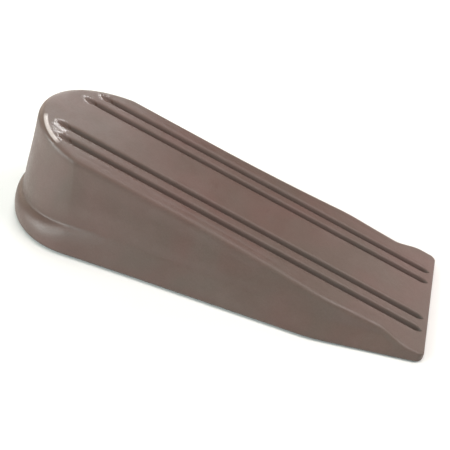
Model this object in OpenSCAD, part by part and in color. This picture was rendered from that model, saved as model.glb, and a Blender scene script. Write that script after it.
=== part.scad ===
// Door wedge: a moulded rubber body with a flared foot and four grooves along its sloping top,
// and a softer tread pad bonded into a shallow recess in its underside.
// Millimetres. +X runs from the round heel to the thin toe, +Z is up, and the origin is on the
// floor, in the middle of the footprint. The wedge is the same on both sides of the XZ plane.

/* [Overall size] */
// Length from the back of the heel to the toe's edge
wedge_length = 120.65; // [100:0.05:150]
// Width across the foot, where it is widest
foot_width = 50.8; // [44:0.1:60]
// Height that the sloping top would reach at the back of the heel if nothing were rounded
heel_height = 31.75; // [26:0.05:38]
// Thickness of the toe's edge
toe_thickness = 1.6; // [1.4:0.1:3]
// Width across the toe
toe_width = 41.2; // [36:0.1:43]
// Radius of the toe's two corners, seen from above
toe_corner_radius = 2.4; // [1.5:0.1:5]
// Distance from the toe's edge to where the foot starts to narrow
narrowing_length = 27; // [22:1:40]
// Radius of the soft bend where the foot starts to narrow
narrowing_radius = 40; // [20:2:90]
// Fullness of the round heel, seen from above: 1 is a half circle, less is squarer
heel_fullness = 1; // [0.85:0.01:1]

/* [Foot and walls] */
// How far the foot stands out from the wall at the back of the heel
heel_flare = 1.8; // [1:0.1:3]
// How far the foot stands out from the wall where the heel rounds into the sides
shoulder_flare = 4.8; // [4:0.1:7]
// How far the foot stands out from the wall along the sides
side_flare = 4; // [3:0.1:5]
// Part of the sides' flare that is left at the toe
toe_flare_share = 0.34; // [0.1:0.02:0.5]
// Length, from the toe's edge, that has only that part
toe_flare_length = 3.8; // [2:0.1:6]
// Length over which the flare then grows to the whole
flare_growth_length = 8; // [6:0.5:14]
// Height of the foot at the heel, where the wall meets it in a tight crease
heel_foot_height = 5; // [4:0.1:7]
// Height of the foot at the heel end of the sides
side_foot_height = 8.8; // [6:0.1:10]
// Height of the foot at the toe end of the sides
toe_foot_height = 2.4; // [2:0.1:4]
// Roundness of the foot at the heel: 0.5 is a quarter circle, 1 is a straight chamfer
heel_foot_shape = 0.4; // [0.35:0.05:1]
// Roundness of the foot along the sides, on the same scale: more than 1 is a hollow flare
side_foot_shape = 1; // [0.7:0.05:1.3]
// Length over which the heel's round foot turns into the sides' flare
flare_blend_length = 49; // [40:1:60]
// Lean of the heel's wall, in millimetres per millimetre of height
heel_draft = 0.24; // [0.05:0.01:0.3]
// Lean of the side walls at their heel end, in millimetres per millimetre of height
side_draft = 0.18; // [0.05:0.01:0.25]
// Lean of the side walls at their toe end, in millimetres per millimetre of height
toe_draft = 0.8; // [0.2:0.05:1]
// Radius of the top's edge at the back of the heel
heel_edge_radius = 1.5; // [1:0.1:3]
// Radius of the top's edge along the sides
side_edge_radius = 1.6; // [0.8:0.1:2]

/* [Grooves] */
// Distance from the centre line to each inner groove
inner_groove_offset = 7.2; // [6:0.1:7.6]
// Distance from the centre line to each outer groove
outer_groove_offset = 11.7; // [11:0.1:12.6]
// Width of a groove at the surface
groove_width = 2.4; // [2.4:0.1:3.2]
// Depth of a groove
groove_depth = 1.2; // [0.6:0.1:1.2]
// Length of the point at a groove's heel end
groove_heel_point = 5; // [2:0.5:8]
// Length of the point at a groove's toe end
groove_toe_point = 2.5; // [1:0.5:4]
// Distance from the back of the heel to the inner grooves' tips
inner_groove_start = 15; // [12:0.1:20]
// Distance from the back of the heel to the outer grooves' tips
outer_groove_start = 17.7; // [14:0.1:24]
// Distance from the grooves' toe tips to the toe's edge
groove_toe_gap = 1.2; // [1:0.1:5]

/* [Tread pad] */
// Thickness of the pad
pad_thickness = 2; // [1.4:0.1:2.4]
// How far the pad stands below the body
pad_proud = 0.4; // [0.2:0.05:0.6]
// Margin from the foot's edge to the pad
pad_margin = 5; // [4:0.5:7]
// Margin from the toe's edge to the pad
pad_toe_margin = 14; // [12:0.5:25]
// Radius of the pad's two toe corners
pad_corner_radius = 6; // [4:0.5:10]
// Spacing of the grooves across the pad
tread_pitch = 5; // [4:0.5:8]
// Width of each groove across the pad
tread_groove_width = 1.4; // [0.8:0.1:2]
// Depth of each groove across the pad
tread_groove_depth = 1; // [0.4:0.1:1.1]

/* [Hidden] */

half_length = wedge_length / 2;
half_width = foot_width / 2;
heel_x = half_width - half_length;
// Fall of the top for each millimetre towards the toe
top_slope = (heel_height - toe_thickness) / wedge_length;
top_angle = atan(top_slope);
// Steps along each stretch of the outline, and up the skin
corner_steps = 6;
taper_steps = 10;
bend_steps = 3;
side_steps = 14;
heel_steps = 20;
foot_rows = 8;
wall_rows = 3;
edge_rows = 5;
// Rounds of averaging that find where the leaning wall meets the sloping top
height_rounds = 16;
// Parts of the wall's height that the foot, the rounded edge and the drop over which the wall's
// lean is measured may fill where the wedge is thin
thin_foot_share = 0.7;
thin_edge_share = 0.33;
thin_lean_share = 0.4;

function mix(a, b, t) = a + (b - a) * t;
function smooth_step(t) = let (c = min(max(t, 0), 1)) c * c * (3 - 2 * c);
function unit(v) = v / norm(v);

// A station is [x, y, direction that the outline faces there]: 0 is the toe, 90 the side and
// 180 the heel. Half of the foot's outline, from the toe's corner round to the back of the heel:
function half_outline() =
    let (
        bend_x = half_length - narrowing_length,
        taper = atan((half_width - toe_width / 2) / narrowing_length),
        turn = 90 - taper,
        corner = [half_length - toe_corner_radius, toe_width / 2 - toe_corner_radius * tan(turn / 2)],
        bend = [bend_x - narrowing_radius * tan(taper / 2), half_width - narrowing_radius],
        taper_start = corner + toe_corner_radius * [cos(turn), sin(turn)],
        taper_run = bend + narrowing_radius * [cos(turn), sin(turn)] - taper_start
    )
    concat(
        [for (i = [0 : corner_steps - 1]) let (a = turn * i / corner_steps)
            concat(corner + toe_corner_radius * [cos(a), sin(a)], a)],
        [for (i = [0 : taper_steps - 1]) concat(taper_start + taper_run * i / taper_steps, turn)],
        [for (i = [0 : bend_steps - 1]) let (a = turn + taper * i / bend_steps)
            concat(bend + narrowing_radius * [cos(a), sin(a)], a)],
        [for (i = [0 : side_steps - 1]) [bend.x + (heel_x - bend.x) * i / side_steps, half_width, 90]],
        [for (i = [0 : heel_steps]) heel_station(90 * i / heel_steps)]
    );

// A station on the heel, at a turn of 0 where the side ends and 90 at the back. Powers of the sine
// and cosine fill the round out.
function heel_station(turn) =
    let (c = cos(turn), s = sin(turn), e = heel_fullness)
    [heel_x - half_width * pow(s, e), half_width * pow(c, e), 90 + atan2(pow(s, 2 - e), pow(c, 2 - e))];

// How much of the heel's character a station has: 1 at the back of the heel, 0 along the sides
function heel_share(s) = smooth_step((flare_blend_length - half_length - s.x) / flare_blend_length);
function facing_heel(s) = max(-cos(s[2]), 0);
// Distance along the sides, from 0 where the heel's round ends to 1 at the toe's edge
function toe_share(s) = max(s.x - heel_x, 0) / (half_length - heel_x);
function grown(s) =
    mix(toe_flare_share, 1, smooth_step((half_length - toe_flare_length - s.x) / flare_growth_length));

function flare(s) =
    let (side = mix(side_flare, shoulder_flare, heel_share(s)))
    cos(s[2]) < 0 ? mix(side, heel_flare, pow(facing_heel(s), 2)) : side * abs(sin(s[2])) * grown(s);
function foot_height(s) =
    mix(mix(side_foot_height, toe_foot_height, toe_share(s)), heel_foot_height, heel_share(s));
function foot_shape(s) = mix(side_foot_shape, heel_foot_shape, heel_share(s));
function draft(s) = mix(mix(side_draft, toe_draft, toe_share(s)) * grown(s), heel_draft, facing_heel(s));
function edge_radius(s) = mix(side_edge_radius, heel_edge_radius, pow(facing_heel(s), 2));

// How much of the flare is left at a height up the foot
function flare_left(t, shape) = pow(1 - pow(min(t, 1), 1 / shape), shape);

// How far the skin is drawn in from the outline at a height
function inset(s, z) =
    flare(s) * (1 - flare_left(z / foot_height(s), foot_shape(s))) + draft(s) * max(z - foot_height(s), 0);
function skin_point(s, z) = let (d = inset(s, z)) [s.x - d * cos(s[2]), s.y - d * sin(s[2]), z];
function top_z(x) = toe_thickness + top_slope * (half_length - x);

// Height where the wall at a station reaches the sloping top
function wall_height(s, z = 8, rounds = height_rounds) =
    rounds == 0 ? z : wall_height(s, (z + top_z(skin_point(s, z).x)) / 2, rounds - 1);

// One station's column of points: up the foot, up the wall, and over the rounded top edge.
// The edge is an arc from down_the_wall to in_on_the_top, tangent to both.
function column(s) =
    let (
        z = wall_height(s),
        edge = skin_point(s, z),
        down = unit(skin_point(s, z - min(edge_radius(s), thin_lean_share * z)) - edge),
        inward = unit([-cos(s[2]), -sin(s[2]), top_slope * cos(s[2])]),
        corner_angle = acos(down * inward),
        reach = min(edge_radius(s) / tan(corner_angle / 2), thin_edge_share * z),
        z_wall = z + reach * down.z,
        z_foot = min(foot_height(s), thin_foot_share * z_wall),
        down_the_wall = skin_point(s, z_wall),
        in_on_the_top = edge + reach * inward,
        pull = sin(corner_angle / 2)
    )
    concat(
        [for (i = [0 : foot_rows - 1]) skin_point(s, z_foot * i / foot_rows)],
        [for (i = [0 : wall_rows - 1]) skin_point(s, z_foot + (z_wall - z_foot) * i / wall_rows)],
        [for (i = [0 : edge_rows])
            let (t = i / edge_rows, a = pow(1 - t, 2), b = 2 * t * (1 - t) * pull, c = t * t)
            (a * down_the_wall + b * edge + c * in_on_the_top) / (a + b + c)]
    );

// The closed skin, its underside at height 0: a column at each station of one half, then the same
// columns mirrored in reverse. Strips across the wedge close it underneath and on top.
module skin() {
    half = [for (s = half_outline()) column(s)];
    last = len(half) - 1;
    mirrored = [for (i = [last - 1 : -1 : 0]) [for (p = half[i]) [p.x, -p.y, p.z]]];
    columns = concat(half, mirrored);
    n = len(columns);
    rows = len(columns[0]);
    walls = [for (i = [0 : n - 1], j = [0 : rows - 2]) let (a = i * rows + j, b = (i + 1) % n * rows + j)
        each [[a, a + 1, b + 1], [a, b + 1, b]]];
    under = [for (i = [0 : last - 1]) let (a = i * rows, b = (n - 1 - i) * rows)
        i == last - 1 ? [a, a + rows, b] : [a, a + rows, b - rows, b]];
    top = [for (i = [0 : last - 1]) let (a = (i + 1) * rows - 1, b = (n - i) * rows - 1)
        i == last - 1 ? [b, a + rows, a] : [b, b - rows, a + rows, a]];
    polyhedron(points = [for (c = columns) each c], faces = concat(walls, under, top), convexity = 4);
}

// One groove: a round channel along the sloping top, pointed at both ends
module top_groove(start_x, y) {
    // Radius of the channel, and how far its axis stands above the surface
    radius = (pow(groove_width / 2, 2) + pow(groove_depth, 2)) / (2 * groove_depth);
    lift = radius - groove_depth;
    run = (half_length - groove_toe_gap - start_x) / cos(top_angle);
    straight = run - groove_heel_point - groove_toe_point;
    translate([start_x, y, top_z(start_x)])
        rotate([0, 90 + top_angle, 0])
            translate([-lift, 0, 0]) {
                cylinder(h = groove_heel_point, r1 = lift, r2 = radius, $fn = 48);
                translate([0, 0, groove_heel_point])
                    cylinder(h = straight, r = radius, $fn = 48);
                translate([0, 0, groove_heel_point + straight])
                    cylinder(h = groove_toe_point, r1 = radius, r2 = lift, $fn = 48);
            }
}

// The pad's outline, which is also the recess that holds it
module pad_outline() {
    round_half = half_width - pad_margin;
    toe_end = half_length - pad_toe_margin;
    corner = [toe_end - pad_corner_radius, round_half - pad_corner_radius];
    translate([heel_x, 0])
        circle(r = round_half, $fn = 96);
    translate([heel_x, -round_half])
        square([corner.x - heel_x, 2 * round_half]);
    translate([heel_x, -corner.y])
        square([toe_end - heel_x, 2 * corner.y]);
    for (side = [-1, 1])
        translate([corner.x, side * corner.y])
            circle(r = pad_corner_radius, $fn = 48);
}

module wedge_body() {
    color([0.45, 0.39, 0.36])
        translate([0, 0, pad_proud])
            difference() {
                skin();
                for (side = [-1, 1]) {
                    top_groove(inner_groove_start - half_length, side * inner_groove_offset);
                    top_groove(outer_groove_start - half_length, side * outer_groove_offset);
                }
                translate([0, 0, -1])
                    linear_extrude(height = pad_thickness - pad_proud + 1)
                        pad_outline();
            }
}

module tread_pad() {
    reach = ceil(half_length / tread_pitch) + 0.5;
    color([0.3, 0.27, 0.25])
        difference() {
            linear_extrude(height = pad_thickness)
                pad_outline();
            for (i = [-reach : reach])
                translate([i * tread_pitch - tread_groove_width / 2, -foot_width, -1])
                    cube([tread_groove_width, foot_width * 2, tread_groove_depth + 1]);
        }
}

wedge_body();
tread_pad();
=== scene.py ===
"""Looks of the door wedge: a finely moulded rubber body and its tread pad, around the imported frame.

Lengths in the shape functions are millimetres, and to_metres() puts finished points in the frame.
"""
import math

import bmesh
import bpy
from mathutils import Matrix, Vector, geometry, kdtree, noise


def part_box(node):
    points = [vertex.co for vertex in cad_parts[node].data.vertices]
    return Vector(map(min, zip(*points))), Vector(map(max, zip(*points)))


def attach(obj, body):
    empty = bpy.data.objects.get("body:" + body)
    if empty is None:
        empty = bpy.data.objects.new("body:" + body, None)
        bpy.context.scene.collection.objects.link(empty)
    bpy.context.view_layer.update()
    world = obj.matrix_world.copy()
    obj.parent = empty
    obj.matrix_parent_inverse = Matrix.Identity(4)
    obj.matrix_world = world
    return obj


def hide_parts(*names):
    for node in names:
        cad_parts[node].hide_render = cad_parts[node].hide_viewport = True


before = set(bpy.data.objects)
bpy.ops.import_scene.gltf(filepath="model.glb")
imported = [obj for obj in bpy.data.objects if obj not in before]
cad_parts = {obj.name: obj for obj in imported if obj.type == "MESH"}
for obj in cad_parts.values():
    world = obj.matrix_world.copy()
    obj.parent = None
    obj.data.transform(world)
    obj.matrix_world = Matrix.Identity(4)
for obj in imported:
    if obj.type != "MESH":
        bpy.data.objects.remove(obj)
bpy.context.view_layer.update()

MM = 0.001

# ---- Sizes from the frame ------------------------------------------------------------------------

body_low, body_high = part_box("wedge_body")
pad_low, pad_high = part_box("tread_pad")
HALF_LENGTH = (body_high[0] - body_low[0]) / 2 / MM
HALF_WIDTH = (body_high[1] - body_low[1]) / 2 / MM
PAD_PROUD = (body_low[2] - pad_low[2]) / MM
PAD_THICKNESS = (pad_high[2] - pad_low[2]) / MM
PAD_HALF_WIDTH = (pad_high[1] - pad_low[1]) / 2 / MM
PAD_TOE_X = pad_high[0] / MM
HEEL_X = HALF_WIDTH - HALF_LENGTH

# ---- Sizes of the body's shape, which part.scad states too ---------------------------------------

HEEL_HEIGHT = 31.75
TOE_THICKNESS = 1.6
TOE_HALF_WIDTH = 20.6
TOE_CORNER = 2.4
NARROWING_LENGTH = 27
NARROWING_RADIUS = 40
HEEL_FULLNESS = 1.0
HEEL_FLARE, HEEL_SIDE_FLARE, SIDE_FLARE = 1.8, 4.8, 4.0
HEEL_FOOT_HEIGHT, SIDE_FOOT_HEIGHT, TOE_FOOT_HEIGHT = 5.0, 8.8, 2.4
HEEL_FOOT_SHAPE, SIDE_FOOT_SHAPE = 0.4, 1.0
FLARE_BLEND = 49
TOE_FLARE_SHARE, TOE_FLARE_LENGTH, FLARE_GROWTH = 0.34, 3.8, 8
HEEL_DRAFT, SIDE_DRAFT, TOE_DRAFT = 0.24, 0.18, 0.8
HEEL_EDGE_RADIUS, SIDE_EDGE_RADIUS = 1.5, 1.6
TOP_SLOPE = (HEEL_HEIGHT - TOE_THICKNESS) / (2 * HALF_LENGTH)

# Grooves: distance from the centre line, and from the back of the heel to the tip
GROOVES = [(7.2, 15.0), (11.7, 17.7)]
GROOVE_SPREAD = 0.74    # distance from a groove's middle at which about a third of its depth is left
GROOVE_FULLNESS = 2.2
GROOVE_DEPTH = 1.2
GROOVE_HEEL_POINT = 5.0
GROOVE_TOE_POINT, GROOVE_TOE_BLUNTNESS = 2.5, 2.2
GROOVE_TOE_GAP = 1.2
GROOVE_REACH = 0.5      # how far below the top a groove is felt, where it meets the toe's edge
GROOVE_WIDENING = 1.5   # run over which a groove widens from its tip at the heel
GROOVE_BULB, GROOVE_BULB_LENGTH = 0.35, 4      # extra width near that tip, and its fading run

# The bands between the outer grooves and the edge swell a little, and the walls wave in and out
SWELL, SWELL_FROM, SWELL_REACH = 0.12, 12.7, 2.6
SWELL_FULL_FROM, SWELL_NONE_FROM = 15, 64      # places along the wedge, towards the toe
SWELL_HEEL_LEAD, SWELL_HEEL_LENGTH = 6, 14     # where it starts behind the heel's centre, and grows
WALL_WAVE = 0.17        # the most that the wave adds to a side wall's lean or takes from it
WAVE_FULL_FROM = 8      # height of wall that has the whole wave

# Softness of the moulding's corners and creases: the spread of a moving average along the skin
HEEL_FOOT_SOFTNESS, SIDE_FOOT_SOFTNESS = 0.35, 0.8
EDGE_SOFTNESS = 0.6
LEAD = 2.2              # run of flat skin beyond each end of the section, in spreads
SOFTEN_TAPS, SOFTEN_REACH = 6, 2.5      # samples to each side, and how far they go, in spreads

# Where the wedge is thin: the most of its height that the softness, the edge and the foot may take
THIN_SOFTNESS, THIN_EDGE, THIN_FOOT = 0.1, 0.33, 0.7
WALL_TOP_SHARE = 0.4    # the most of its height over which the wall's slope under the edge is taken

# How finely the skin is divided
CORNER_STEPS, TAPER_STEPS, BEND_STEPS, SIDE_STEPS, HEEL_STEPS = 14, 56, 14, 150, 130
FOOT_ROWS, WALL_ROWS, EDGE_ROWS, LEAD_ROWS = 28, 30, 16, 4


def lerp(a, b, t):
    return a + (b - a) * t


def smooth(t):
    t = min(max(t, 0.0), 1.0)
    return t * t * (3 - 2 * t)


def to_metres(point):
    """A body point in millimetres above the body's underside, in the frame."""
    x, y, z = point
    return Vector((x * MM, y * MM, (z + PAD_PROUD) * MM))


# ---- The body's outline, seen from above ---------------------------------------------------------

def heel_station(turn):
    c, s = max(math.cos(turn), 0.0), math.sin(turn)
    facing = math.pi / 2 + math.atan2(s ** (2 - HEEL_FULLNESS), c ** (2 - HEEL_FULLNESS))
    return HEEL_X - HALF_WIDTH * s ** HEEL_FULLNESS, HALF_WIDTH * c ** HEEL_FULLNESS, facing


def half_outline():
    """Stations (x, y, direction faced) from the toe's corner round to the back of the heel."""
    bend_x = HALF_LENGTH - NARROWING_LENGTH
    taper = math.atan((HALF_WIDTH - TOE_HALF_WIDTH) / NARROWING_LENGTH)
    turn = math.pi / 2 - taper
    corner = Vector((HALF_LENGTH - TOE_CORNER, TOE_HALF_WIDTH - TOE_CORNER * math.tan(turn / 2)))
    bend = Vector((bend_x - NARROWING_RADIUS * math.tan(taper / 2), HALF_WIDTH - NARROWING_RADIUS))
    facing = Vector((math.cos(turn), math.sin(turn)))
    start = corner + TOE_CORNER * facing
    end = bend + NARROWING_RADIUS * facing

    def arc(centre, radius, first, last, steps):
        for i in range(steps):
            a = lerp(first, last, i / steps)
            yield centre.x + radius * math.cos(a), centre.y + radius * math.sin(a), a

    stations = list(arc(corner, TOE_CORNER, 0, turn, CORNER_STEPS))
    stations += [(*start.lerp(end, i / TAPER_STEPS), turn) for i in range(TAPER_STEPS)]
    stations += arc(bend, NARROWING_RADIUS, turn, math.pi / 2, BEND_STEPS)
    straight = [lerp(bend.x, HEEL_X, i / SIDE_STEPS) for i in range(SIDE_STEPS)]
    stations += [(x, HALF_WIDTH, math.pi / 2) for x in straight]
    stations += [heel_station(math.pi / 2 * i / HEEL_STEPS) for i in range(HEEL_STEPS + 1)]
    return stations


# ---- The body's skin at one station: a column from the underside to the sloping top --------------

def top_z(x):
    return TOE_THICKNESS + TOP_SLOPE * (HALF_LENGTH - x)


class Column:
    """The section of the skin straight in from one station of the outline."""

    def __init__(self, x, y, facing):
        self.x, self.y = x, y
        self.out = Vector((math.cos(facing), math.sin(facing)))
        back = max(-self.out.x, 0.0)
        heel = smooth((FLARE_BLEND - HALF_LENGTH - x) / FLARE_BLEND)
        grown = lerp(TOE_FLARE_SHARE, 1, smooth((HALF_LENGTH - TOE_FLARE_LENGTH - x) / FLARE_GROWTH))
        toeward = max(x - HEEL_X, 0.0) / (HALF_LENGTH - HEEL_X)
        side = lerp(SIDE_FLARE, HEEL_SIDE_FLARE, heel)
        if self.out.x < 0:
            self.flare = lerp(side, HEEL_FLARE, back ** 2)
        else:
            self.flare = side * abs(self.out.y) * grown
        self.foot = lerp(lerp(SIDE_FOOT_HEIGHT, TOE_FOOT_HEIGHT, toeward), HEEL_FOOT_HEIGHT, heel)
        self.shape = lerp(SIDE_FOOT_SHAPE, HEEL_FOOT_SHAPE, heel)
        self.draft = lerp(lerp(SIDE_DRAFT, TOE_DRAFT, toeward) * grown, HEEL_DRAFT, back)
        self.edge_radius = lerp(SIDE_EDGE_RADIUS, HEEL_EDGE_RADIUS, back ** 2)
        self.foot_softness = lerp(SIDE_FOOT_SOFTNESS, HEEL_FOOT_SOFTNESS, heel)

    def inset(self, z):
        t = min(max(z / self.foot, 0.0), 1.0)
        left = (1 - t ** (1 / self.shape)) ** self.shape if t < 1 else 0.0
        return self.flare * (1 - left) + self.draft * max(z - self.foot, 0.0)

    def wave(self, z, z_foot, z_wall):
        """How far the wall waves in at a height: upright at its top and bottom, leaning in between."""
        t = min(max((z - z_foot) / (z_wall - z_foot), 0.0), 1.0)
        tall = smooth((z_wall - z_foot) / WAVE_FULL_FROM)
        size = WALL_WAVE * self.out.y ** 2 * (z_wall - z_foot) * tall
        return -size * math.sin(2 * math.pi * t) / (2 * math.pi)

    def height(self):
        """Height where the wall meets the sloping top."""
        z = 8.0
        for _ in range(20):
            z = (z + top_z(self.x - self.inset(z) * self.out.x)) / 2
        return z

    def raw(self):
        """The section as (inset, height) points, with sharp corners and a lead at each end."""
        z = self.height()
        edge = Vector((self.inset(z), z))
        below = z - min(self.edge_radius, WALL_TOP_SHARE * z)
        down = (Vector((self.inset(below), below)) - edge).normalized()
        inward = Vector((1.0, TOP_SLOPE * self.out.x)).normalized()
        corner = math.acos(max(-1.0, min(1.0, down.dot(inward))))
        reach = min(self.edge_radius / math.tan(corner / 2), THIN_EDGE * z)
        z_wall = z + reach * down.y
        z_foot = min(self.foot, THIN_FOOT * z_wall)
        foot_spread = min(self.foot_softness, THIN_SOFTNESS * z)
        edge_spread = min(EDGE_SOFTNESS, THIN_SOFTNESS * z)
        lead = LEAD * foot_spread
        points = [(lead * (1 - i / LEAD_ROWS), 0.0) for i in range(LEAD_ROWS)]
        for i in range(FOOT_ROWS):
            height = z_foot * (math.sin(math.pi / 2 * i / FOOT_ROWS)) ** (2 * min(self.shape, 0.8))
            points.append((self.inset(height), height))
        for i in range(WALL_ROWS):
            height = lerp(z_foot, z_wall, i / WALL_ROWS)
            points.append((self.inset(height) + self.wave(height, z_foot, z_wall), height))
        pull = math.sin(corner / 2)
        first, last = Vector((self.inset(z_wall), z_wall)), edge + reach * inward
        for i in range(EDGE_ROWS + 1):
            t = i / EDGE_ROWS
            a, b, c = (1 - t) ** 2, 2 * t * (1 - t) * pull, t * t
            points.append(tuple((a * first + b * edge + c * last) / (a + b + c)))
        end = last + LEAD * edge_spread * inward
        points += [tuple(last.lerp(end, i / LEAD_ROWS)) for i in range(1, LEAD_ROWS + 1)]
        spreads = [lerp(foot_spread, edge_spread, smooth(p[1] / z_wall)) for p in points]
        return [Vector(p) for p in points], spreads

    def points(self):
        """The softened section, as points in space."""
        section = soften(*self.raw())
        return [(self.x - d * self.out.x, self.y - d * self.out.y, z) for d, z in section]


def soften(points, spreads):
    """Rounds a line's corners: each point becomes a weighted mean of the line around it."""
    along = [0.0]
    for a, b in zip(points, points[1:]):
        along.append(along[-1] + (b - a).length)
    shifts = [k / SOFTEN_TAPS * SOFTEN_REACH for k in range(-SOFTEN_TAPS, SOFTEN_TAPS + 1)]
    weights = [math.exp(-(shift ** 2) / 2) for shift in shifts]
    total = sum(weights)
    result = []
    for i, here in enumerate(along):
        if i == 0 or i == len(points) - 1:
            result.append(points[i])
            continue
        mean = Vector((0.0, 0.0))
        k = i
        for shift, weight in zip(shifts, weights):
            s = min(max(here + shift * spreads[i], 0.0), along[-1])
            while k > 0 and along[k] > s:
                k -= 1
            while k < len(along) - 2 and along[k + 1] < s:
                k += 1
            span = along[k + 1] - along[k]
            mean += weight / total * points[k].lerp(points[k + 1], (s - along[k]) / span)
        result.append(mean)
    return result


# ---- The sloping top and its grooves -------------------------------------------------------------

def groove_cut(x, y):
    """Depth of the nearest groove at a place on the top."""
    deepest = 0.0
    end = HALF_LENGTH - GROOVE_TOE_GAP
    for offset, start in GROOVES:
        from_heel = x - (start - HALF_LENGTH)
        from_toe = end - x
        if from_heel <= 0 or from_toe <= 0:
            continue
        toe_part = 1 - (1 - min(from_toe / GROOVE_TOE_POINT, 1)) ** GROOVE_TOE_BLUNTNESS
        depth = (1 - (1 - min(from_heel / GROOVE_HEEL_POINT, 1)) ** 2) * toe_part
        bulb = 1 + GROOVE_BULB * math.exp(-from_heel / GROOVE_BULB_LENGTH)
        width = (1 - math.exp(-from_heel / GROOVE_WIDENING)) * bulb * toe_part
        r = abs(abs(y) - offset) / (GROOVE_SPREAD * width + 1e-6)
        deepest = max(deepest, GROOVE_DEPTH * depth * math.exp(-r ** GROOVE_FULLNESS))
    return deepest


GRID = 0.15                 # spacing of the top's points across the grooves
GRID_WIDTH = 13.05          # half the width of the top that is divided so finely
GRID_STEPS = round(GRID_WIDTH / GRID)
OUTER_STEPS = 12
EDGE_CLEARANCE = 0.5


def top_row(edge, centre_x):
    """Points of the top from a column's end in to the centre line, bowed where the heel is round."""
    edge_x, edge_y = edge
    last = min(GRID_WIDTH, max(edge_y - EDGE_CLEARANCE, 0.0))
    marks = [lerp(edge_y, last, i / OUTER_STEPS) for i in range(OUTER_STEPS)]
    marks += [last * (1 - i / GRID_STEPS) for i in range(GRID_STEPS + 1)]
    row = []
    for y in marks:
        x = lerp(centre_x, edge_x, (y / edge_y) ** 2 if edge_y > 0 else 1.0)
        row.append((x, y, top_z(x)))
    return row


def top_rows(columns):
    """One row for each column. In the heel the rows spread evenly along the centre line."""
    ends = [points[-1][:2] for points in columns]
    heel = len(ends) - 1 - HEEL_STEPS
    rows = [top_row(end, end[0]) for end in ends[:heel]]
    for i, end in enumerate(ends[heel:]):
        rows.append(top_row(end, lerp(ends[heel][0], ends[-1][0], i / HEEL_STEPS)))
    return rows


# ---- Mesh building -------------------------------------------------------------------------------

SHARP_ANGLE = math.radians(50)      # faces that meet at more than this keep a sharp edge
JOIN_DISTANCE = 2e-7                # metres between points that become one


class Builder:
    """Collects points and faces of one half, then mirrors and joins them into a closed mesh."""

    def __init__(self):
        self.mesh = bmesh.new()

    def row(self, points):
        return [self.mesh.verts.new(p) for p in points]

    def strip(self, a, b, flip=False):
        for i in range(len(a) - 1):
            quad = (a[i], a[i + 1], b[i + 1], b[i])
            self.mesh.faces.new(quad[::-1] if flip else quad)

    def mirror_and_join(self):
        copy = bmesh.ops.duplicate(self.mesh, geom=self.mesh.verts[:] + self.mesh.faces[:])["geom"]
        verts = [g for g in copy if isinstance(g, bmesh.types.BMVert)]
        bmesh.ops.scale(self.mesh, vec=(1, -1, 1), verts=verts)
        bmesh.ops.reverse_faces(self.mesh, faces=[g for g in copy if isinstance(g, bmesh.types.BMFace)])
        bmesh.ops.remove_doubles(self.mesh, verts=self.mesh.verts, dist=JOIN_DISTANCE)

    def finish(self, name):
        bmesh.ops.recalc_face_normals(self.mesh, faces=self.mesh.faces)
        for face in self.mesh.faces:
            face.smooth = True
        for edge in self.mesh.edges:
            if len(edge.link_faces) == 2 and edge.calc_face_angle(0) > SHARP_ANGLE:
                edge.smooth = False
        data = bpy.data.meshes.new(name)
        self.mesh.to_mesh(data)
        self.mesh.free()
        piece = bpy.data.objects.new(name, data)
        bpy.context.scene.collection.objects.link(piece)
        return piece


BROAD_HOLLOW, BROAD_SIZE = 0.05, 18.0
SMALL_HOLLOW, SMALL_SIZE = 0.012, 4.5
HOLLOWS_FROM = 1.5      # height at which the hollows have grown to their full depth


def hollow(place):
    """Slight sinking of a real moulding at a place, in millimetres: never outward."""
    broad = 0.5 + 0.5 * noise.noise(place / BROAD_SIZE + Vector((3.1, 7.7, 1.3)))
    small = 0.5 + 0.5 * noise.noise(place / SMALL_SIZE + Vector((11.0, 2.0, 5.0)))
    return BROAD_HOLLOW * broad + SMALL_HOLLOW * small


def wear(mesh):
    """Sinks the skin along its normals, leaving the base edge alone and keeping within the length."""
    end = HALF_LENGTH * MM
    mesh.normal_update()
    for v in mesh.verts:
        place = v.co / MM
        v.co -= v.normal * hollow(place) * smooth((place.z - PAD_PROUD) / HOLLOWS_FROM) * MM
        v.co.x = min(max(v.co.x, -end), end)


# ---- Underside and recess ------------------------------------------------------------------------

PAD_CORNER = 6.0
RECESS_TOE_STEPS, RECESS_CORNER_STEPS, RECESS_SIDE_STEPS, RECESS_HEEL_STEPS = 12, 24, 60, 72


def pad_half_outline():
    """Half of the pad's outline from the toe end's middle round to the back of the heel."""
    half, toe = PAD_HALF_WIDTH - PAD_CORNER, PAD_TOE_X - PAD_CORNER
    points = [(PAD_TOE_X, half * i / RECESS_TOE_STEPS) for i in range(RECESS_TOE_STEPS)]
    for i in range(RECESS_CORNER_STEPS):
        a = math.pi / 2 * i / RECESS_CORNER_STEPS
        points.append((toe + PAD_CORNER * math.cos(a), half + PAD_CORNER * math.sin(a)))
    straight = [lerp(toe, HEEL_X, i / RECESS_SIDE_STEPS) for i in range(RECESS_SIDE_STEPS)]
    points += [(x, PAD_HALF_WIDTH) for x in straight]
    for i in range(RECESS_HEEL_STEPS):
        a = math.pi / 2 * (1 + i / RECESS_HEEL_STEPS)
        points.append((HEEL_X + PAD_HALF_WIDTH * math.cos(a), PAD_HALF_WIDTH * math.sin(a)))
    return points + [(HEEL_X - PAD_HALF_WIDTH, 0.0)]


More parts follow.
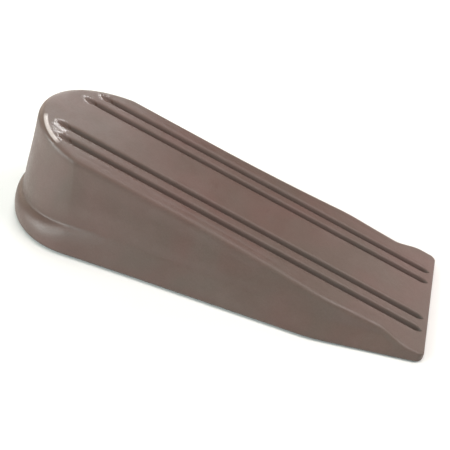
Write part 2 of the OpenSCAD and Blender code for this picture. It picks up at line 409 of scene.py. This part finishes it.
def add_underside(builder, rim):
    """Closes the body below: a flat ring from rim to recess, the recess's wall and its ceiling."""
    half = pad_half_outline()
    inner = half + [(x, -y) for x, y in reversed(half[1:-1])]
    flat = [(v.co.x / MM, v.co.y / MM) for v in rim] + inner
    count = len(rim)
    loops = [list(range(count)), list(range(count, len(flat)))]
    _, _, faces, origins, _, _ = geometry.delaunay_2d_cdt([Vector(p) for p in flat], [], loops, 1, 1e-6)
    low = builder.row([to_metres((x, y, 0)) for x, y in inner])
    high = builder.row([to_metres((x, y, PAD_THICKNESS - PAD_PROUD)) for x, y in inner])
    for face in faces:
        corners = [origins[i][0] for i in face]
        inside = min(corners) >= count
        layer = rim + (high if inside else low)
        builder.mesh.faces.new([layer[i] for i in corners])
    builder.strip(low + low[:1], high + high[:1])


# ---- The pieces ----------------------------------------------------------------------------------

def make_body():
    builder = Builder()
    stations = half_outline()
    columns = [Column(*s).points() for s in stations]
    tops = top_rows(columns)
    # The toe's flat face repeats the first column at each division of the top's last row
    toes = [[(x, y, z) for x, _, z in columns[0]] for _, y, _ in tops[0]]
    rim = rim_tree(columns)
    for sheet, flip in ((columns, False), (tops, False), (toes, True)):
        rows = [builder.row([to_metres(shape_top(p, rim)) for p in points]) for points in sheet]
        for a, b in zip(rows, rows[1:]):
            builder.strip(a, b, flip)
    builder.mirror_and_join()
    wear(builder.mesh)
    add_underside(builder, ordered_rim(builder.mesh))
    return builder.finish("body_moulding")


def shape_top(point, rim):
    """Moves a point of the top down into a groove, or up where the top swells."""
    x, y, z = point
    near_top = top_z(x) - z
    groove = groove_cut(x, y) * smooth(1 - near_top / GROOVE_REACH)
    return x, y, z - groove + swell(x, abs(y), rim) * smooth(1 - near_top / SWELL_REACH)


def swell(x, y, rim):
    """Height of the soft swelling of the band between the outer groove and the edge."""
    amount = smooth((SWELL_NONE_FROM - x) / (SWELL_NONE_FROM - SWELL_FULL_FROM))
    amount *= smooth((x - HEEL_X + SWELL_HEEL_LEAD) / SWELL_HEEL_LENGTH)
    from_groove = y - SWELL_FROM
    if amount == 0 or from_groove <= 0:
        return 0.0
    _, _, from_rim = rim.find((x, y, 0.0))
    across = from_groove / (from_groove + from_rim)
    return SWELL * amount * 4 * across * (1 - across)


def rim_tree(columns):
    """Finds the nearest place on the top's edge, seen from above."""
    tree = kdtree.KDTree(len(columns))
    for i, column in enumerate(columns):
        tree.insert((*column[-1][:2], 0.0), i)
    tree.balance()
    return tree


def ordered_rim(mesh):
    """The open edge of the skin as a loop of points in order."""
    edges = [e for e in mesh.edges if len(e.link_faces) == 1]
    first = edges[0]
    loop = [first.verts[0], first.verts[1]]
    previous = first
    while True:
        onward = [e for e in loop[-1].link_edges if len(e.link_faces) == 1 and e != previous]
        previous = onward[0]
        step = previous.other_vert(loop[-1])
        if step == loop[0]:
            return loop
        loop.append(step)


TREAD_PITCH = 5.0
TREAD_GROOVE = 1.4
TREAD_DEPTH = 1.0
TREAD_ROUNDING = 0.3    # width over which a rib's edge falls into the groove
PAD_ROUNDING = 0.3
PAD_GAP = 0.03          # clearance all round the pad in its recess
# The pad's divisions across it, as shares of its half width: finer towards its border
PAD_ACROSS = [i / 24 for i in range(24)] + [0.97, 0.98, 0.985, 0.99, 0.995, 1.0]


def make_pad():
    """The tread pad: ribs with softened edges across the underside, and a flat upper face."""
    builder = Builder()
    rows = [[(x, pad_width(x) * v) for v in PAD_ACROSS] for x in pad_marks()]

    def layer(height):
        return [builder.row([Vector((x, y, height(x, y))) * MM for x, y in r]) for r in rows]

    low, high = layer(pad_floor), layer(lambda x, y: PAD_THICKNESS - PAD_GAP)
    for sheet, flip in ((low, False), (high, True)):
        for a, b in zip(sheet, sheet[1:]):
            builder.strip(a, b, flip)
    builder.strip([r[-1] for r in low], [r[-1] for r in high])
    builder.strip(low[-1], high[-1], True)
    builder.mirror_and_join()
    return builder.finish("tread_ribs")


def pad_width(x):
    """Half the pad's width at a distance along it."""
    radius = PAD_HALF_WIDTH - PAD_GAP
    over = x - (PAD_TOE_X - PAD_CORNER)
    if x < HEEL_X:
        return math.sqrt(max(radius ** 2 - (x - HEEL_X) ** 2, 0.0))
    if over > 0:
        corner = PAD_CORNER - PAD_GAP
        return radius - corner + math.sqrt(max(corner ** 2 - over ** 2, 0.0))
    return radius


def inside_pad(x, y):
    """Distance from a place in the pad to its border, where that is short."""
    if x < HEEL_X:
        return PAD_HALF_WIDTH - PAD_GAP - math.hypot(x - HEEL_X, y)
    over_x = max(x - (PAD_TOE_X - PAD_CORNER), 0.0)
    over_y = max(y - (PAD_HALF_WIDTH - PAD_CORNER), 0.0)
    return PAD_CORNER - PAD_GAP - math.hypot(over_x, over_y)


def pad_floor(x, y):
    """Height of the pad's underside: 0 on a rib, TREAD_DEPTH in the groove between two ribs."""
    from_groove = abs((x / TREAD_PITCH) % 1 - 0.5) * TREAD_PITCH
    fall = smooth((from_groove - (TREAD_GROOVE - TREAD_ROUNDING) / 2) / TREAD_ROUNDING)
    border = max(0.0, 1 - inside_pad(x, y) / PAD_ROUNDING)
    return max(TREAD_DEPTH * (1 - fall), PAD_ROUNDING * border ** 2)


def pad_marks():
    """Distances along the pad where it is divided: closely at its ends and at the ribs' edges."""
    radius, corner = PAD_HALF_WIDTH - PAD_GAP, PAD_CORNER - PAD_GAP
    start, end = HEEL_X - radius, PAD_TOE_X - PAD_GAP
    heel_steps, corner_steps, rib_steps = 40, 24, 8
    marks = [HEEL_X - radius * math.cos(math.pi / 2 * i / heel_steps) for i in range(1, heel_steps)]
    for i in range(corner_steps):
        marks.append(end - corner * (1 - math.sin(math.pi / 2 * i / corner_steps)))
    reach = (TREAD_GROOVE + TREAD_ROUNDING) / 2
    for rib in range(math.floor(start / TREAD_PITCH), math.ceil(end / TREAD_PITCH)):
        middle = (rib + 0.5) * TREAD_PITCH
        marks += [middle + reach * i / rib_steps for i in range(-rib_steps, rib_steps + 1)]
    clearance = 0.02
    kept = [start]
    for mark in sorted(marks):
        if kept[-1] + clearance < mark < end - clearance:
            kept.append(mark)
    return kept + [end]


# ---- Materials -----------------------------------------------------------------------------------

class Nodes:
    """Short calls for building a node material on object coordinates in millimetres."""

    def __init__(self, name):
        self.material = bpy.data.materials.new(name)
        self.material.use_nodes = True
        self.tree = self.material.node_tree
        self.shader = self.tree.nodes["Principled BSDF"]
        place = self.tree.nodes.new("ShaderNodeTexCoord")
        scale = self.tree.nodes.new("ShaderNodeVectorMath")
        scale.operation = "SCALE"
        scale.inputs["Scale"].default_value = 1 / MM
        self.link(place.outputs["Object"], scale.inputs[0])
        self.millimetres = scale.outputs[0]

    def link(self, a, b):
        self.tree.links.new(a, b)

    def noise(self, per_mm, detail=2.0, roughness=0.5, distortion=0.0):
        node = self.tree.nodes.new("ShaderNodeTexNoise")
        node.inputs["Scale"].default_value = per_mm
        node.inputs["Detail"].default_value = detail
        node.inputs["Roughness"].default_value = roughness
        node.inputs["Distortion"].default_value = distortion
        self.link(self.millimetres, node.inputs["Vector"])
        return node.outputs["Fac"]

    def remap(self, value, low, high, to_low, to_high):
        node = self.tree.nodes.new("ShaderNodeMapRange")
        names = ("From Min", "From Max", "To Min", "To Max")
        for name, number in zip(names, (low, high, to_low, to_high)):
            node.inputs[name].default_value = number
        self.link(value, node.inputs["Value"])
        return node.outputs["Result"]

    def distance(self, centre, scale):
        """Distance of a place from a centre, after stretching by a scale along each axis."""
        shift = self.tree.nodes.new("ShaderNodeVectorMath")
        shift.operation = "SUBTRACT"
        shift.inputs[1].default_value = centre
        self.link(self.millimetres, shift.inputs[0])
        stretch = self.tree.nodes.new("ShaderNodeVectorMath")
        stretch.operation = "MULTIPLY"
        stretch.inputs[1].default_value = scale
        self.link(shift.outputs[0], stretch.inputs[0])
        length = self.tree.nodes.new("ShaderNodeVectorMath")
        length.operation = "LENGTH"
        self.link(stretch.outputs[0], length.inputs[0])
        return length.outputs["Value"]

    def openness(self, reach_mm):
        """1 on an open surface, less in a groove or crease."""
        node = self.tree.nodes.new("ShaderNodeAmbientOcclusion")
        node.samples = 8
        node.inputs["Distance"].default_value = reach_mm * MM
        return node.outputs["AO"]

    def maths(self, operation, a, b=0.0):
        node = self.tree.nodes.new("ShaderNodeMath")
        node.operation = operation
        for socket, value in zip(node.inputs, (a, b)):
            if isinstance(value, (int, float)):
                socket.default_value = value
            else:
                self.link(value, socket)
        return node.outputs[0]

    def blend(self, factor, a, b):
        node = self.tree.nodes.new("ShaderNodeMix")
        node.data_type = "RGBA"
        inputs = [s for s in node.inputs if s.enabled]
        for socket, value in zip(inputs, (factor, a, b)):
            if isinstance(value, (int, float)):
                socket.default_value = value
            elif isinstance(value, tuple):
                socket.default_value = (*value, 1.0)
            else:
                self.link(value, socket)
        return [s for s in node.outputs if s.enabled][0]

    def bump(self, height, depth_mm, under=None):
        """Fine relief of a depth, laid over the normal of an earlier one."""
        node = self.tree.nodes.new("ShaderNodeBump")
        node.inputs["Strength"].default_value = 1.0
        node.inputs["Distance"].default_value = depth_mm * MM
        self.link(height, node.inputs["Height"])
        if under is not None:
            self.link(under, node.inputs["Normal"])
        return node.outputs["Normal"]


CREASE_SHADE = 0.4              # painted shade: how much darker the colour is made deep in a groove or crease, where shade falls
POLISH = 0.22           # what is left of the roughness where the heel is rubbed
# Centre and half size of each rubbed patch on the heel
RUBS = [(-43.9, -9.1, 2.2, 2.7), (-42.2, -13.0, 1.4, 1.9)]
# The crescent on the heel's rim, glossier and coloured pale as a painted highlight: a thin band, where it
# is near one place
RIM_RADIUS, RIM_HALF_WIDTH, RIM_FADE = 15.6, 0.36, 0.25
RIM_HIGHLIGHT_CENTRE, RIM_HIGHLIGHT_SIZE, RIM_HIGHLIGHT_FADE = (-46.0, -11.8, 0), 6.0, 1.5
# Bright lips round the grooves' tips: distance of the middle from the tip, and the ring's half size
TIP_MARK_REACH, TIP_MARK_LENGTH, TIP_MARK_WIDTH = 1.4, 1.9, 1.25


def heel_polish_and_highlight(n):
    """How rubbed the heel is: ragged patches, a crescent on the rim, lips round the grooves' tips; the
    crescent's mask also places a painted highlight in the colour.

    Returns the whole mask, and the crescent's alone.
    """
    ragged = n.remap(n.noise(0.9, 4.0, 0.7), 0.3, 0.7, -0.4, 0.4)
    speckle = n.remap(n.noise(3.4, 2.0, 0.7), 0.36, 0.5, 0.7, 1)
    upper, lower = (n.distance((x, y, 0), (1 / half_x, 1 / half_y, 0)) for x, y, half_x, half_y in RUBS)
    near = n.maths("ADD", n.maths("MINIMUM", upper, lower), ragged)
    polish = n.maths("MULTIPLY", n.remap(near, 0.85, 1.0, 1, 0), speckle)
    radius = n.distance((HEEL_X, 0, 0), (1, 1, 0))
    from_rim = n.maths("ABSOLUTE", n.maths("SUBTRACT", radius, RIM_RADIUS))
    rim = n.remap(from_rim, RIM_HALF_WIDTH, RIM_HALF_WIDTH + RIM_FADE, 1, 0)
    from_middle = n.distance(RIM_HIGHLIGHT_CENTRE, (1, 1, 0))
    along = n.remap(from_middle, RIM_HIGHLIGHT_SIZE - RIM_HIGHLIGHT_FADE, RIM_HIGHLIGHT_SIZE, 1, 0)
    crescent = n.maths("MULTIPLY", rim, along)
    polish = n.maths("MAXIMUM", polish, crescent)
    for offset, start in GROOVES:
        for side in (-1, 1):
            middle = (start - HALF_LENGTH + TIP_MARK_REACH, side * offset, 0)
            ring = n.distance(middle, (1 / TIP_MARK_LENGTH, 1 / TIP_MARK_WIDTH, 0))
            mark = n.remap(n.maths("ABSOLUTE", n.maths("SUBTRACT", ring, 1.0)), 0.12, 0.3, 0.8, 0)
            polish = n.maths("MAXIMUM", polish, n.maths("MULTIPLY", mark, speckle))
    return polish, crescent


def brown_rubber():
    """Satin brown moulded rubber: mottled colour, fine-grained texture, slight wear in the sheen, painted
    shade deep in grooves and creases, and a painted highlight on the heel's rim.
    """
    n = Nodes("brown_rubber")
    warm, cool, pale = (0.142, 0.082, 0.069), (0.124, 0.086, 0.07), (0.172, 0.125, 0.11)
    # Painted highlight: a pale colour laid on the crescent on the heel's rim, standing in for a
    # reflection
    painted_highlight = (0.62, 0.56, 0.53)
    mottle = n.remap(n.noise(0.045, 3.0, 0.55, 0.6), 0.35, 0.65, 0, 1)
    colour = n.blend(mottle, warm, cool)
    bloom = n.remap(n.noise(0.11, 4.0, 0.6), 0.5, 0.8, 0, 0.35)
    colour = n.blend(bloom, colour, pale)
    polish, crescent = heel_polish_and_highlight(n)
    # Painted highlight: the crescent on the heel's rim is coloured pale
    colour = n.blend(n.remap(crescent, 0, 1, 0, 0.9), colour, painted_highlight)
    grain_and_shade = n.remap(n.noise(2.6, 3.0, 0.65), 0.3, 0.7, 0.92, 1.07)
    # Painted shade: the colour is darkened where the surface is enclosed, in grooves and creases
    grain_and_shade = n.maths("MULTIPLY", grain_and_shade, n.remap(n.openness(2.5), 0.3, 0.9, CREASE_SHADE, 1))
    shade = n.tree.nodes.new("ShaderNodeVectorMath")
    shade.operation = "SCALE"
    n.link(colour, shade.inputs[0])
    n.link(grain_and_shade, shade.inputs["Scale"])
    n.link(shade.outputs[0], n.shader.inputs["Base Color"])
    cloudy = n.remap(n.noise(0.16, 4.0, 0.6), 0.3, 0.7, 0.36, 0.48)
    rough = n.maths("ADD", cloudy, n.remap(n.noise(1.7, 2.0, 0.5), 0.3, 0.7, -0.04, 0.05))
    n.link(n.maths("MULTIPLY", rough, n.remap(polish, 0, 1, 1, POLISH)), n.shader.inputs["Roughness"])
    n.shader.inputs["IOR"].default_value = 1.5
    n.shader.inputs["Specular IOR Level"].default_value = 0.5
    broad = n.bump(n.noise(0.5, 3.0, 0.5), 0.06)
    fine = n.bump(n.noise(3.2, 3.0, 0.6), 0.03, under=broad)
    n.link(fine, n.shader.inputs["Normal"])
    return n.material


def tread_rubber():
    """Softer, darker, matt rubber with a dusty bloom on the ribs."""
    n = Nodes("tread_rubber")
    dust = n.remap(n.noise(0.35, 5.0, 0.7), 0.45, 0.75, 0, 0.5)
    colour = n.blend(dust, (0.075, 0.062, 0.055), (0.14, 0.125, 0.112))
    n.link(colour, n.shader.inputs["Base Color"])
    n.link(n.remap(n.noise(0.8, 3.0), 0.3, 0.7, 0.62, 0.8), n.shader.inputs["Roughness"])
    n.link(n.bump(n.noise(2.2, 4.0, 0.7), 0.06), n.shader.inputs["Normal"])
    return n.material


def pale_floor():
    n = Nodes("pale_floor")
    n.shader.inputs["Base Color"].default_value = (0.92, 0.92, 0.915, 1)
    n.shader.inputs["Roughness"].default_value = 0.85
    n.shader.inputs["Specular IOR Level"].default_value = 0.2
    return n.material


# ---- Stage, camera and lights --------------------------------------------------------------------

# The camera's place round the object, in degrees and millimetres
CAMERA_AZIMUTH = 12.9
CAMERA_ELEVATION = 39.1
CAMERA_ROLL = 9.5
CAMERA_DISTANCE = 180.3
CAMERA_LENS = 50.8
AIM = Vector((0.9, 2.9, 3.6))

FLOOR_REACH = 3.0       # metres


def add_camera():
    azimuth, elevation = math.radians(CAMERA_AZIMUTH), math.radians(CAMERA_ELEVATION)
    away = Vector((math.sin(azimuth) * math.cos(elevation),
                   -math.cos(azimuth) * math.cos(elevation),
                   math.sin(elevation)))
    turn = away.to_track_quat("Z", "Y").to_matrix()
    roll = Matrix.Rotation(math.radians(CAMERA_ROLL), 3, "Z")
    camera = bpy.data.objects.new("camera", bpy.data.cameras.new("camera"))
    camera.matrix_world = Matrix.Translation((AIM + away * CAMERA_DISTANCE) * MM) @ (turn @ roll).to_4x4()
    camera.data.lens = CAMERA_LENS
    camera.data.clip_start = 0.01
    bpy.context.scene.collection.objects.link(camera)
    bpy.context.scene.camera = camera


def add_floor():
    corners = [(-FLOOR_REACH, -FLOOR_REACH, 0), (FLOOR_REACH, -FLOOR_REACH, 0),
               (FLOOR_REACH, FLOOR_REACH, 0), (-FLOOR_REACH, FLOOR_REACH, 0)]
    floor = bpy.data.meshes.new("floor")
    floor.from_pydata(corners, [], [(0, 1, 2, 3)])
    piece = bpy.data.objects.new("floor", floor)
    floor.materials.append(pale_floor())
    bpy.context.scene.collection.objects.link(piece)


def add_light(name, azimuth, elevation, distance, size, power, colour=(1, 1, 1)):
    """A square soft light that faces the object, placed by compass angle from behind it (+Y is 0)."""
    a, e = math.radians(azimuth), math.radians(elevation)
    place = Vector((math.sin(a) * math.cos(e), math.cos(a) * math.cos(e), math.sin(e))) * distance
    data = bpy.data.lights.new(name, "AREA")
    data.shape = "SQUARE"
    data.size = size
    data.energy = power
    data.color = colour
    light = bpy.data.objects.new(name, data)
    light.location = place
    light.rotation_euler = place.to_track_quat("Z", "Y").to_euler()
    bpy.context.scene.collection.objects.link(light)


def add_world(strength, colour):
    world = bpy.data.worlds.new("studio")
    world.use_nodes = True
    world.node_tree.nodes["Background"].inputs["Color"].default_value = (*colour, 1)
    world.node_tree.nodes["Background"].inputs["Strength"].default_value = strength
    bpy.context.scene.world = world


def dress(piece, node, material):
    piece.data.materials.append(material)
    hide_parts(node)
    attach(piece, "root")


bpy.context.scene.view_settings.view_transform = "Standard"
add_camera()
add_floor()
add_world(0.04, (0.95, 1.0, 0.985))
# Name, azimuth and elevation in degrees, distance and size in metres, power in watts, colour
add_light("left", -122, 20, 0.9, 0.4, 5.4, (0.96, 1.0, 0.98))
add_light("front_left", -150, 26, 0.9, 0.4, 1.2, (0.55, 1.0, 1.0))
add_light("far_left", -60, 20, 0.9, 0.35, 1.5, (1.0, 0.85, 0.7))
add_light("back", -30, 22, 0.9, 0.4, 2.4, (0.97, 1.0, 0.94))
add_light("back_right", 34, 20, 0.9, 0.35, 1.3, (1.0, 0.86, 0.82))
add_light("right", 75, 50, 0.9, 0.35, 4.0, (1.0, 0.92, 0.9))
add_light("overhead", 180, 80, 0.9, 0.9, 2.8, (1.0, 0.92, 0.82))
add_light("overhead_back", 0, 72, 0.9, 0.35, 1.5)
add_light("front", 150, 20, 0.9, 0.35, 0.7, (0.8, 0.95, 1.0))
add_light("glint", -15.3, 43.5, 0.92, 0.04, 0.44)
add_light("far_glint", -12.9, 39.2, 0.95, 0.03, 0.2)
add_light("rim_glint", -26, 49, 0.95, 0.08, 0.3)

dress(make_body(), "wedge_body", brown_rubber())
dress(make_pad(), "tread_pad", tread_rubber())
